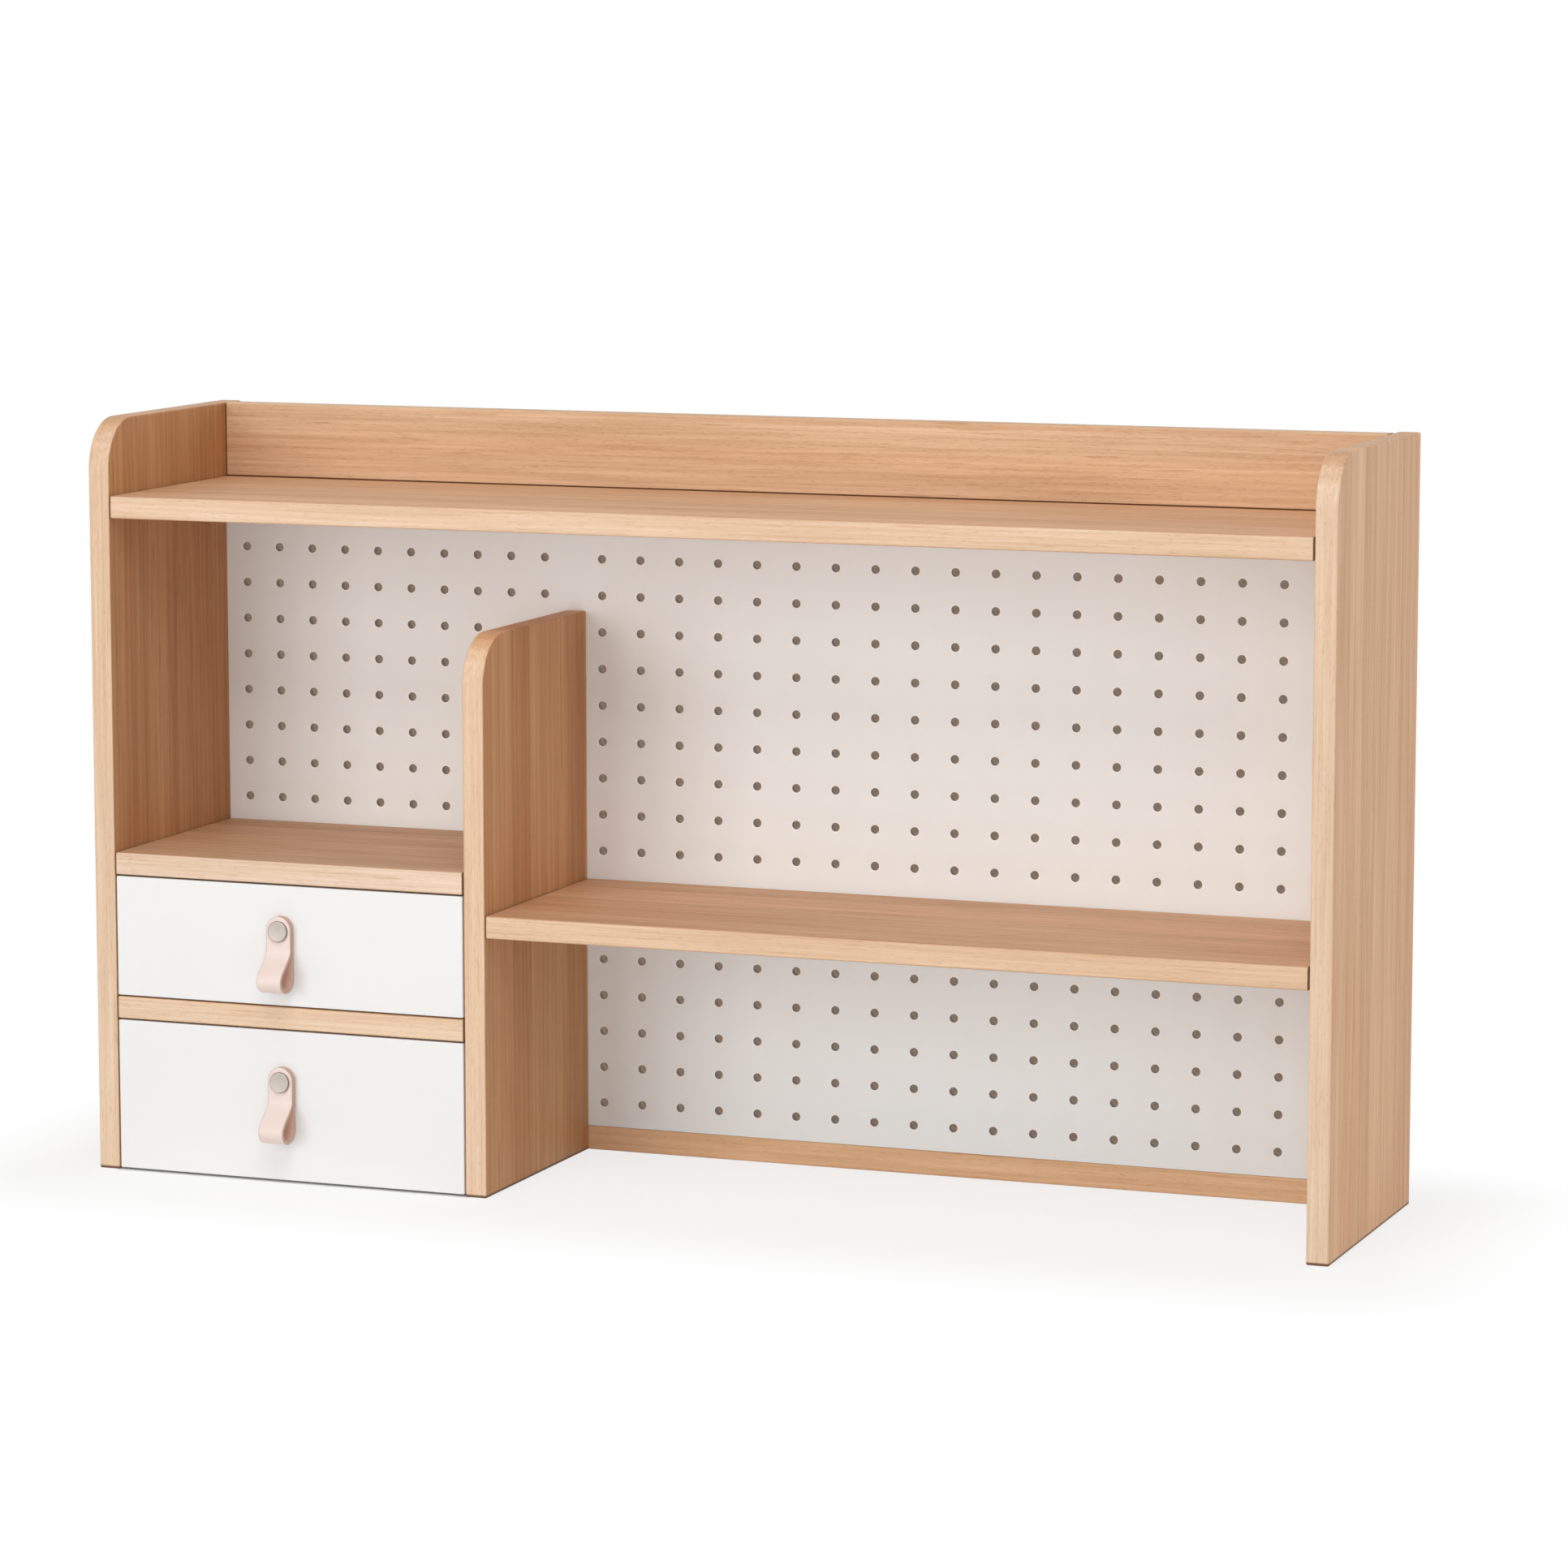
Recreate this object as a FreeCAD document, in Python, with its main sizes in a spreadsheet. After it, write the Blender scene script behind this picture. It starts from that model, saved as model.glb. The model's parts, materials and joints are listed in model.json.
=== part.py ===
import FreeCAD, Part
import math
import os

import Sketcher
from FreeCAD import Placement, Rotation, Vector

# A wooden desk organizer: a carcass of 15 mm boards with a perforated back board, two inset
# drawers with folded leather pulls, and round-cornered side panels and divider.
# X runs along the width, +Y towards the back and +Z up. The origin is on the desk, at the middle
# of the overall footprint, which the two leather pulls carry a little past the front.

doc = FreeCAD.newDocument("desk_organizer")
sizes = doc.addObject("Spreadsheet::Sheet", "sizes")

SIZES = {
    # carcass
    "width": 860,                 # over both side panels
    "depth": 200,                 # front to back of the side panels and the top shelf
    "height": 508,                # side panels and back rail
    "board": 15,                  # thickness of every carcass board
    "corner_radius": 34,          # front top corner of the side panels and the divider
    "bay_depth": 175,             # front edge to the face of the perforated back
    "top_rail_height": 51,        # back rail over the top shelf
    "drawer_bay_width": 256,      # left side panel to the divider
    "mid_shelf_top": 189,         # upper face of the long shelf right of the divider
    "divider_gap": 69,            # divider to the underside of the top shelf
    "bottom_rail_height": 22,     # with the part that stands behind the perforated back
    # perforated back
    "back_thickness": 5,
    "groove_depth": 5,            # housings for the back in the panels, top shelf and bottom rail
    "groove_clearance": 0.2,
    "peg_hole": 6,                # hole diameter
    "peg_row_pitch": 25,
    "peg_row_drop": 33.5,         # underside of a shelf to the first row under it
    "left_peg_pitch": 25,         # columns left of the divider
    "right_peg_pitch": 28.2,      # columns right of the divider
    "peg_margin": 10,             # least distance from a hole's middle to a neighbouring board
    # dowels between the boards
    "dowel_width": 6,             # over the corners of the fluted pin
    "dowel_length": 24,
    "dowel_in_panel": 9,          # share of the pin that sits in the upright
    "dowel_inset": 35,            # pin to the front or back end of a shelf
    # drawers
    "upper_front_height": 81,
    "lower_front_height": 101.5,  # taller, because it also covers the floor of its bay
    "front_thickness": 15,
    "front_gap": 1,               # around each inset front
    "desk_gap": 1.5,              # under the lower front
    "box_wall": 10,               # sides and back of a drawer box
    "box_below_front": 11,        # how much lower a drawer box is than the upper front
    "box_clearance": 2,           # each side of the box in its bay
    "box_back_clearance": 4,      # behind the box when the drawer is shut
    "running_gap": 0.3,           # between the box and the board it runs on
    "bottom_thickness": 4,
    "bottom_rise": 8,             # lower edge of the box to its bottom board
    "bottom_groove": 5,
    "bottom_clearance": 0.2,
    "housing_depth": 3,           # for the box back, in each side
    "box_dowel_length": 20,
    "box_dowel_in_front": 8,
    "box_dowel_edge": 15,         # upper pin to the top of the box
    "box_dowel_spacing": 30,
    # leather pulls
    "pull_from_left": 122.5,      # left edge of a front to the middle of its pull
    "upper_bolt_drop": 30,        # top of the upper front to its bolt
    "lower_bolt_drop": 34,        # top of the lower front to its bolt
    "strap_width": 18,
    "strap_thickness": 2.5,
    "strap_layer_gap": 0.2,       # between the two layers under the button
    "strap_reach": 21,            # how far the loop stands out from the front
    "strap_drop": 40.5,           # bolt to the bottom of the loop
    "strap_end": 10,              # bolt to the rounded ends of the strap
    "strap_flat": 7.2,            # bolt to where the front layer bends outwards
    "strap_bend": 6,              # radius of that bend, at mid thickness
    "button": 14,                 # diameter of the bolt's flat head
    "button_thickness": 2,
    "pull_bolt": 4,               # shank diameter
    "bolt_play": 0.1,             # radial, in every hole on the shank
    "bolt_past_nut": 1,
    "nut_flats": 7,
    "nut_thickness": 3.2,
}
for row, (alias, value) in enumerate(SIZES.items(), 1):
    sizes.set(f"A{row}", alias.replace("_", " "))
    sizes.set(f"B{row}", str(value))
    sizes.setAlias(f"B{row}", alias)
doc.recompute()

# Places that several pieces share, each worked out from the sheet.
LEFT_FACE = "(-sizes.width / 2)"
LEFT_INNER = "(sizes.board - sizes.width / 2)"
RIGHT_INNER = "(sizes.width / 2 - sizes.board)"
INNER_WIDTH = "(sizes.width - 2 * sizes.board)"
DIVIDER_LEFT = f"({LEFT_INNER} + sizes.drawer_bay_width)"
DIVIDER_RIGHT = f"({DIVIDER_LEFT} + sizes.board)"
RIGHT_BAY_WIDTH = f"({RIGHT_INNER} - {DIVIDER_RIGHT})"
FRONT = "((sizes.strap_reach - sizes.depth) / 2)"
BACK_FACE = f"({FRONT} + sizes.bay_depth)"
RAIL_SHOWS = "(sizes.bottom_rail_height - sizes.groove_depth)"
TOP_SHELF_TOP = "(sizes.height - sizes.top_rail_height)"
TOP_SHELF_UNDERSIDE = f"({TOP_SHELF_TOP} - sizes.board)"
LOWER_FRONT_TOP = "(sizes.desk_gap + sizes.lower_front_height)"
PARTITION_TOP = f"({LOWER_FRONT_TOP} + sizes.front_gap + sizes.board)"
UPPER_FRONT_TOP = f"({PARTITION_TOP} + sizes.front_gap + sizes.upper_front_height)"
LEFT_SHELF_TOP = f"({UPPER_FRONT_TOP} + sizes.front_gap + sizes.board)"


def measure(expression):
    """The number that an expression over the sheet gives now."""
    return float(sizes.evalExpression(expression))


def bind(piece, **expressions):
    for name, expression in expressions.items():
        path = f".Placement.Base.{name}" if name in ("x", "y", "z") else name
        piece.setExpression(path, expression)
    return piece


def box(name, x, y, z, length, width, height):
    piece = doc.addObject("Part::Box", name)
    return bind(piece, Length=length, Width=width, Height=height, x=x, y=y, z=z)


def group(name, pieces):
    piece = doc.addObject("Part::Compound", name)
    piece.Links = pieces
    return piece


def cut(name, blank, tools):
    """The named piece: its blank less every tool."""
    piece = doc.addObject("Part::Cut", name)
    piece.Base = blank
    piece.Tool = tools[0] if len(tools) == 1 else group(name + "_cuts", tools)
    return piece


# Uprights: the two side panels and the divider share one outline with a rounded front top corner.


def upright(name, x, depth, height):
    body = doc.addObject("PartDesign::Body", name)
    side = next(plane for plane in body.Origin.OriginFeatures if plane.Role == "YZ_Plane")
    sketch = body.newObject("Sketcher::SketchObject", name + "_outline")
    sketch.AttachmentSupport = [(side, "")]
    sketch.MapMode = "FlatFace"
    far, top, round_off = measure(depth), measure(height), measure("sizes.corner_radius")
    corners = [Vector(0, 0), Vector(far, 0), Vector(far, top), Vector(round_off, top),
               Vector(0, top - round_off)]
    for start, end in ((0, 1), (1, 2), (2, 3), (4, 0)):
        sketch.addGeometry(Part.LineSegment(corners[start], corners[end]))
    circle = Part.Circle(Vector(round_off, top - round_off), Vector(0, 0, 1), round_off)
    sketch.addGeometry(Part.ArcOfCircle(circle, math.pi / 2, math.pi))
    bottom, back, lid, front, arc = range(5)
    for line, next_line in ((bottom, back), (back, lid), (front, bottom)):
        sketch.addConstraint(Sketcher.Constraint("Coincident", line, 2, next_line, 1))
    sketch.addConstraint(Sketcher.Constraint("Tangent", lid, 2, arc, 1))
    sketch.addConstraint(Sketcher.Constraint("Tangent", arc, 2, front, 1))
    for line in (bottom, lid):
        sketch.addConstraint(Sketcher.Constraint("Horizontal", line))
    for line in (back, front):
        sketch.addConstraint(Sketcher.Constraint("Vertical", line))
    sketch.addConstraint(Sketcher.Constraint("Coincident", bottom, 1, -1, 1))
    for rule, line, value, expression in (
        ("DistanceX", bottom, far, depth),
        ("DistanceY", back, top, height),
    ):
        index = sketch.addConstraint(Sketcher.Constraint(rule, line, 1, line, 2, value))
        sketch.setExpression(f"Constraints[{index}]", expression)
    index = sketch.addConstraint(Sketcher.Constraint("Radius", arc, round_off))
    sketch.setExpression(f"Constraints[{index}]", "sizes.corner_radius")
    pad = body.newObject("PartDesign::Pad", name + "_pad")
    pad.Profile = sketch
    bind(pad, Length="sizes.board")
    return bind(body, x=x, y=FRONT)


# Dowels: six-sided pins, two at each end of a board, glued half into the board and half into the
# upright. Each pin also cuts its own hole in the two boards that it joins.

dowels = []
holes_in = {}
ACROSS = Placement(Vector(0, 0, 0), Rotation(Vector(0, 1, 0), 90))     # along +X
INWARD = Placement(Vector(0, 0, 0), Rotation(Vector(1, 0, 0), -90))    # along +Y
OUTWARD = Placement(Vector(0, 0, 0), Rotation(Vector(1, 0, 0), 90))    # along -Y


def pin(name, direction, x, y, z, length):
    piece = doc.addObject("Part::Prism", name)
    piece.Polygon = 6
    piece.Placement = direction
    return bind(piece, Circumradius="sizes.dowel_width / 2", Height=length, x=x, y=y, z=z)


def dowel_end(board, upright_name, joint, side, z, rows):
    """Pins across the joint at x = joint, with the upright on the given side of it."""
    if side == "left":
        start = f"{joint} - sizes.dowel_in_panel"
    else:
        start = f"{joint} + sizes.dowel_in_panel - sizes.dowel_length"
    for number, y in enumerate(rows, 1):
        name = f"dowel_{board}_{side}_{number}"
        piece = pin(name, ACROSS, start, y, z, "sizes.dowel_length")
        dowels.append(piece)
        holes_in.setdefault(board, []).append(piece)
        holes_in.setdefault(upright_name, []).append(piece)


def shelf_rows(first="0"):
    """The y of the front and back pins of a board whose front edge stands back by first."""
    return (f"{FRONT} + {first} + sizes.dowel_inset", f"{BACK_FACE} - sizes.dowel_inset")


FLOOR_FRONT = "(sizes.front_thickness + sizes.front_gap)"
RAIL_ROW = (f"{BACK_FACE} + sizes.board / 2",)
TOP_SHELF_MIDDLE = f"{TOP_SHELF_TOP} - sizes.board / 2"
RAIL_MIDDLE = f"({TOP_SHELF_TOP} + sizes.height) / 2"
for board, left, right, z, rows in (
    ("top_shelf", "left_side_panel", "right_side_panel", TOP_SHELF_MIDDLE, shelf_rows()),
    ("top_back_rail", "left_side_panel", "right_side_panel", RAIL_MIDDLE, RAIL_ROW),
    ("bottom_back_rail", "left_side_panel", "right_side_panel", f"{RAIL_SHOWS} / 2", RAIL_ROW),
    ("left_shelf", "left_side_panel", "divider_panel",
     f"{LEFT_SHELF_TOP} - sizes.board / 2", shelf_rows()),
    ("drawer_partition", "left_side_panel", "divider_panel",
     f"{PARTITION_TOP} - sizes.board / 2", shelf_rows()),
    ("drawer_bay_floor", "left_side_panel", "divider_panel",
     "sizes.board / 2", shelf_rows(FLOOR_FRONT)),
    ("mid_shelf", "divider_panel", "right_side_panel",
     "sizes.mid_shelf_top - sizes.board / 2", shelf_rows()),
):
    left_joint = DIVIDER_RIGHT if left == "divider_panel" else LEFT_INNER
    right_joint = DIVIDER_LEFT if right == "divider_panel" else RIGHT_INNER
    dowel_end(board, left, left_joint, "left", z, rows)
    dowel_end(board, right, right_joint, "right", z, rows)


# Uprights with their dowel holes and the housing that the perforated back slides into.

GROOVE_WIDTH = "(sizes.back_thickness + sizes.groove_clearance)"
BACK_BOTTOM = RAIL_SHOWS
BACK_TOP = f"({TOP_SHELF_UNDERSIDE} + sizes.groove_depth)"
panels = {}
for name, x, groove_x in (
    ("left_side_panel", LEFT_FACE, f"{LEFT_INNER} - sizes.groove_depth"),
    ("right_side_panel", RIGHT_INNER, RIGHT_INNER),
):
    groove = box(name + "_groove", groove_x, BACK_FACE, BACK_BOTTOM,
                 "sizes.groove_depth", GROOVE_WIDTH, f"{BACK_TOP} - {BACK_BOTTOM}")
    blank = upright(name + "_blank", x, "sizes.depth", "sizes.height")
    panels[name] = cut(name, blank, [groove] + holes_in[name])
blank = upright("divider_blank", DIVIDER_LEFT, "sizes.bay_depth",
                f"{TOP_SHELF_UNDERSIDE} - sizes.divider_gap")
panels["divider_panel"] = cut("divider_panel", blank, holes_in["divider_panel"])


# Boards that lie between the uprights.


def shelf(name, x, top, length, front="0", depth="sizes.bay_depth", thickness="sizes.board",
          extra=()):
    blank = box(name + "_blank", x, f"{FRONT} + {front}", f"{top} - {thickness}",
                length, f"{depth} - {front}", thickness)
    return cut(name, blank, list(extra) + holes_in[name])


shelf_groove = box("top_shelf_groove", LEFT_INNER, BACK_FACE, TOP_SHELF_UNDERSIDE, INNER_WIDTH,
                   GROOVE_WIDTH, "sizes.groove_depth")
rail_rebate = box("bottom_rail_rebate", LEFT_INNER, BACK_FACE, BACK_BOTTOM, INNER_WIDTH,
                  GROOVE_WIDTH, "sizes.groove_depth")
rail_depth = "(sizes.bay_depth + sizes.board)"
boards = [
    shelf("top_shelf", LEFT_INNER, TOP_SHELF_TOP, INNER_WIDTH,
          depth="sizes.depth", extra=[shelf_groove]),
    shelf("left_shelf", LEFT_INNER, LEFT_SHELF_TOP, "sizes.drawer_bay_width"),
    shelf("drawer_partition", LEFT_INNER, PARTITION_TOP, "sizes.drawer_bay_width"),
    shelf("drawer_bay_floor", LEFT_INNER, "sizes.board", "sizes.drawer_bay_width",
          front=FLOOR_FRONT),
    shelf("mid_shelf", DIVIDER_RIGHT, "sizes.mid_shelf_top", RIGHT_BAY_WIDTH),
    shelf("top_back_rail", LEFT_INNER, "sizes.height", INNER_WIDTH, front="sizes.bay_depth",
          depth=rail_depth, thickness="sizes.top_rail_height"),
    shelf("bottom_back_rail", LEFT_INNER, "sizes.bottom_rail_height", INNER_WIDTH,
          front="sizes.bay_depth", depth=rail_depth, thickness="sizes.bottom_rail_height",
          extra=[rail_rebate]),
]
wooden_dowels = group("wooden_dowels", dowels)


# Perforated back: one board in the housings, drilled where the bays leave it open. Every field of
# holes keeps to one grid of rows. The four corner holes of a field are round, and the others are
# six-sided holes inside the same circle, which keeps a board of hundreds of holes light.


def peg_field(left, right, floor, ceiling, pitch):
    """Columns and rows of the holes between two uprights, a board below and a board above."""
    margin, row_pitch = measure("sizes.peg_margin"), measure("sizes.peg_row_pitch")
    across = int((right - left - 2 * margin) / pitch + 1e-9) + 1
    first = (left + right - (across - 1) * pitch) / 2
    top_row = measure(f"{TOP_SHELF_UNDERSIDE} - sizes.peg_row_drop")
    drop = measure("sizes.peg_row_drop")
    start = math.ceil((top_row - (ceiling - drop)) / row_pitch - 1e-9)
    end = math.floor((top_row - (floor + margin)) / row_pitch + 1e-9)
    columns = [first + number * pitch for number in range(across)]
    rows = [top_row - number * row_pitch for number in range(start, end + 1)]
    return columns, rows


def hole_outline(x, z, corner):
    radius = measure("sizes.peg_hole") / 2
    if corner:
        return Part.Wire([Part.makeCircle(radius, Vector(x, 0, z), Vector(0, 1, 0))])
    turns = [math.radians(60 * side + 30) for side in range(7)]
    return Part.makePolygon([Vector(x + radius * math.cos(turn), 0, z + radius * math.sin(turn))
                             for turn in turns])


def perforated_back():
    into = measure("sizes.groove_depth - sizes.groove_clearance")
    left, right = measure(LEFT_INNER) - into, measure(RIGHT_INNER) + into
    low, high = measure(BACK_BOTTOM), measure(f"{BACK_TOP} - sizes.groove_clearance")
    outline = Part.makePolygon([Vector(left, 0, low), Vector(right, 0, low),
                                Vector(right, 0, high), Vector(left, 0, high),
                                Vector(left, 0, low)])
    under_top = measure(TOP_SHELF_UNDERSIDE)
    under_mid = measure("sizes.mid_shelf_top - sizes.board")
    left_bay = [measure(LEFT_INNER), measure(DIVIDER_LEFT)]
    right_bay = [measure(DIVIDER_RIGHT), measure(RIGHT_INNER)]
    left_pitch, right_pitch = measure("sizes.left_peg_pitch"), measure("sizes.right_peg_pitch")
    fields = (
        peg_field(*left_bay, measure(LEFT_SHELF_TOP), under_top, left_pitch),
        peg_field(*right_bay, measure("sizes.mid_shelf_top"), under_top, right_pitch),
        peg_field(*right_bay, measure(RAIL_SHOWS), under_mid, right_pitch),
    )
    wires = [outline]
    for columns, rows in fields:
        for x in columns:
            for z in rows:
                at_corner = x in (columns[0], columns[-1]) and z in (rows[0], rows[-1])
                wires.append(hole_outline(x, z, at_corner))
    face = Part.Face(wires, "Part::FaceMakerBullseye")
    piece = doc.addObject("Part::Feature", "pegboard")
    piece.Shape = face.extrude(Vector(0, measure("sizes.back_thickness"), 0))
    piece.Placement = Placement(Vector(0, measure(BACK_FACE), 0), Rotation())
    return piece


pegboard = perforated_back()


# Leather pulls: a strip folded into a drop-shaped loop, its two layers held flat on the drawer
# front by one button-headed bolt. The side profile is a row of arcs and straight runs that
# touch, extruded to the strap's width and trimmed to the rounded ends.


def on_arc(centre, radius, degrees):
    """A point on a circle in the side view, where the first number stands out from the front."""
    turn = math.radians(degrees)
    return Vector(0, -(centre[0] + radius * math.cos(turn)),
                  centre[1] + radius * math.sin(turn))


def bow(centre, radius, *angles):
    """An arc through three angles in degrees."""
    return Part.Arc(*(on_arc(centre, radius, degrees) for degrees in angles)).toShape()


def strap_shape():
    """The strap with its bolt hole at the origin and the drawer front in the plane y = 0."""
    thick, gap, reach = (measure("sizes.strap_" + name) for name in
                         ("thickness", "layer_gap", "reach"))
    width, end, flat = (measure("sizes.strap_" + name) for name in ("width", "end", "flat"))
    drop, bend = (measure("sizes.strap_" + name) for name in ("drop", "bend"))
    half = thick / 2
    loop = (reach / 2, reach / 2 - drop)
    under_button = (1.5 * thick + gap + bend, -flat)
    # the straight run between the loop and the bend touches both circles
    aside, above = under_button[0] - loop[0], under_button[1] - loop[1]
    slope = math.degrees(math.asin((loop[0] - half + bend) / math.hypot(aside, above))
                         - math.atan(aside / above))

    def run(out, start, stop):
        return Part.LineSegment(Vector(0, -out, start), Vector(0, -out, stop)).toShape()

    def tip(inner, outer):
        return Part.LineSegment(Vector(0, -inner, end), Vector(0, -outer, end)).toShape()

    def straight(loop_radius, bend_radius):
        return Part.LineSegment(on_arc(loop, loop_radius, slope),
                                on_arc(under_button, bend_radius, 180 + slope)).toShape()

    edges = [
        run(0, end, loop[1]),
        bow(loop, loop[0], 180, 270, 360 + slope),
        straight(loop[0], bend - half),
        bow(under_button, bend - half, 180 + slope, 180 + slope / 2, 180),
        run(2 * thick + gap, -flat, end),
        tip(2 * thick + gap, thick + gap),
        run(thick + gap, end, -flat),
        bow(under_button, bend + half, 180, 180 + slope / 2, 180 + slope),
        straight(loop[0] - thick, bend + half),
        bow(loop, loop[0] - thick, 360 + slope, 270, 180),
        run(thick, loop[1], end),
        tip(thick, 0),
    ]
    strip = Part.Face(Part.Wire(edges)).extrude(Vector(width, 0, 0))
    strip.translate(Vector(-width / 2, 0, 0))
    round_z = end - width / 2
    body = Part.makeBox(width, reach, drop + round_z, Vector(-width / 2, -reach, -drop))
    cap = Part.makeCylinder(width / 2, reach, Vector(0, -reach, round_z), Vector(0, 1, 0))
    hole = Part.makeCylinder(measure("sizes.pull_bolt / 2 + sizes.bolt_play"), reach,
                             Vector(0, -reach, 0), Vector(0, 1, 0))
    return strip.common(body.fuse(cap).removeSplitter()).cut(hole)


def cylinder(name, direction, x, y, z, radius, length):
    piece = doc.addObject("Part::Cylinder", name)
    piece.Placement = direction
    return bind(piece, Radius=radius, Height=length, x=x, y=y, z=z)


PULL_X = f"({LEFT_INNER} + sizes.front_gap + sizes.pull_from_left)"
LAYERS = "(2 * sizes.strap_thickness + sizes.strap_layer_gap)"


def pull(drawer, z):
    """The strap, its bolt and the nut behind the front, and the bolt's hole in the front."""
    strap = doc.addObject("Part::Feature", drawer + "_strap")
    strap.Shape = strap_shape()
    strap.Placement = Placement(Vector(measure(PULL_X), measure(FRONT), measure(z)), Rotation())

    name = drawer + "_pull_bolt"
    bolt_end = f"({FRONT} + sizes.front_thickness + sizes.nut_thickness + sizes.bolt_past_nut)"
    button = cylinder(name + "_button", OUTWARD, PULL_X, f"{FRONT} - {LAYERS}", z,
                      "sizes.button / 2", "sizes.button_thickness")
    shank = cylinder(name + "_shank", OUTWARD, PULL_X, bolt_end, z, "sizes.pull_bolt / 2",
                     f"{bolt_end} - {FRONT} + {LAYERS}")
    bolt = doc.addObject("Part::Fuse", name)
    bolt.Base = button
    bolt.Tool = shank

    name = drawer + "_pull_nut"
    blank = doc.addObject("Part::Prism", name + "_blank")
    blank.Polygon = 6
    blank.Placement = INWARD
    bind(blank, Circumradius="sizes.nut_flats / sqrt(3)", Height="sizes.nut_thickness",
         x=PULL_X, y=f"{FRONT} + sizes.front_thickness", z=z)
    hole_radius = "sizes.pull_bolt / 2 + sizes.bolt_play"
    nut = cut(name, blank, [cylinder(name + "_hole", OUTWARD, PULL_X, bolt_end, z, hole_radius,
                                     "sizes.nut_thickness + sizes.bolt_past_nut")])
    front_hole = cylinder(drawer + "_pull_hole", INWARD, PULL_X, FRONT, z, hole_radius,
                          "sizes.front_thickness")
    return [strap, bolt, nut], front_hole


# Drawers: an inset front dowelled to a box of two sides and a back, with a thin bottom board in
# grooves. The box runs on the board beneath it.

BOX_LEFT = f"({LEFT_INNER} + sizes.box_clearance)"
BOX_RIGHT = f"({DIVIDER_LEFT} - sizes.box_clearance)"
BOX_FRONT = f"({FRONT} + sizes.front_thickness)"
BOX_BACK = f"({BACK_FACE} - sizes.box_back_clearance)"
BOX_HEIGHT = "(sizes.upper_front_height - sizes.box_below_front)"
BOTTOM_SLOT = "(sizes.bottom_thickness + sizes.bottom_clearance)"
BOTTOM_INTO = "(sizes.bottom_groove - sizes.bottom_clearance)"


def drawer(name, seat, front_low, front_height, bolt_drop):
    base = f"({seat} + sizes.running_gap)"
    top = f"({base} + {BOX_HEIGHT})"
    slot_low = f"({base} + sizes.bottom_rise)"
    slot_high = f"({slot_low} + {BOTTOM_SLOT})"
    box_length = f"{BOX_BACK} - {BOX_FRONT}"
    inside_left = f"({BOX_LEFT} + sizes.box_wall)"
    inside_right = f"({BOX_RIGHT} - sizes.box_wall)"
    back_front = f"({BOX_BACK} - sizes.box_wall)"

    pieces, pull_hole = pull(name, f"({front_low} + {front_height} - {bolt_drop})")
    slot = box(name + "_front_slot", f"{inside_left} - sizes.bottom_groove",
               f"{BOX_FRONT} - sizes.bottom_groove", slot_low,
               f"{inside_right} - {inside_left} + 2 * sizes.bottom_groove",
               "sizes.bottom_groove", BOTTOM_SLOT)
    front_holes = [pull_hole, slot]
    pins = []
    for side, wall, inside, into in (
        ("left", BOX_LEFT, inside_left, -1),
        ("right", inside_right, inside_right, 0),
    ):
        side_name = f"{name}_{side}_side"
        side_pins = []
        for level, drop in (("upper", "0"), ("lower", "sizes.box_dowel_spacing")):
            side_pins.append(pin(f"{side_name}_{level}_pin", INWARD,
                                 f"{wall} + sizes.box_wall / 2",
                                 f"{BOX_FRONT} - sizes.box_dowel_in_front",
                                 f"{top} - sizes.box_dowel_edge - {drop}",
                                 "sizes.box_dowel_length"))
        groove = box(side_name + "_groove", f"{inside} + {into} * sizes.bottom_groove", BOX_FRONT,
                     slot_low, "sizes.bottom_groove", box_length, BOTTOM_SLOT)
        housing = box(side_name + "_housing", f"{inside} + {into} * sizes.housing_depth",
                      back_front, slot_high, "sizes.housing_depth", "sizes.box_wall",
                      f"{top} - {slot_high}")
        blank = box(side_name + "_blank", wall, BOX_FRONT, base, "sizes.box_wall", box_length,
                    BOX_HEIGHT)
        pieces.append(cut(side_name, blank, [groove, housing] + side_pins))
        pins += side_pins
    blank = box(name + "_front_blank", f"{LEFT_INNER} + sizes.front_gap", FRONT, front_low,
                "sizes.drawer_bay_width - 2 * sizes.front_gap", "sizes.front_thickness",
                front_height)
    pieces.append(cut(name + "_front", blank, front_holes + pins))
    pieces.append(box(name + "_back", f"{inside_left} - sizes.housing_depth", back_front,
                      slot_high, f"{inside_right} - {inside_left} + 2 * sizes.housing_depth",
                      "sizes.box_wall", f"{top} - {slot_high}"))
    pieces.append(box(name + "_bottom", f"{inside_left} - {BOTTOM_INTO}",
                      f"{BOX_FRONT} - {BOTTOM_INTO}",
                      slot_low, f"{inside_right} - {inside_left} + 2 * {BOTTOM_INTO}",
                      f"{box_length} + {BOTTOM_INTO}", "sizes.bottom_thickness"))
    pieces.append(group(name + "_dowels", pins))
    return pieces


drawers = drawer(
    "upper_drawer", PARTITION_TOP, f"({PARTITION_TOP} + sizes.front_gap)",
    "sizes.upper_front_height", "sizes.upper_bolt_drop",
) + drawer(
    "lower_drawer", "sizes.board", "sizes.desk_gap",
    "sizes.lower_front_height", "sizes.lower_bolt_drop",
)


# Check the whole document, then write each piece.

doc.recompute()
bad = [item.Name for item in doc.Objects if {"Invalid", "Error"} & set(item.State)]
if bad:
    raise RuntimeError(f"failed objects: {bad}")
nodes = list(panels.values()) + boards + [wooden_dowels, pegboard] + drawers
shapes = {piece.Label: piece.Shape for piece in nodes}
for label, shape in shapes.items():
    if shape.isNull() or not shape.isValid():
        raise RuntimeError(f"{label} has no valid shape")
os.makedirs("parts", exist_ok=True)
for label, shape in shapes.items():
    shape.exportStep(f"parts/{label}.step")
print(f"{len(nodes)} pieces written")
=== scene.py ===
import json
import math

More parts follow.
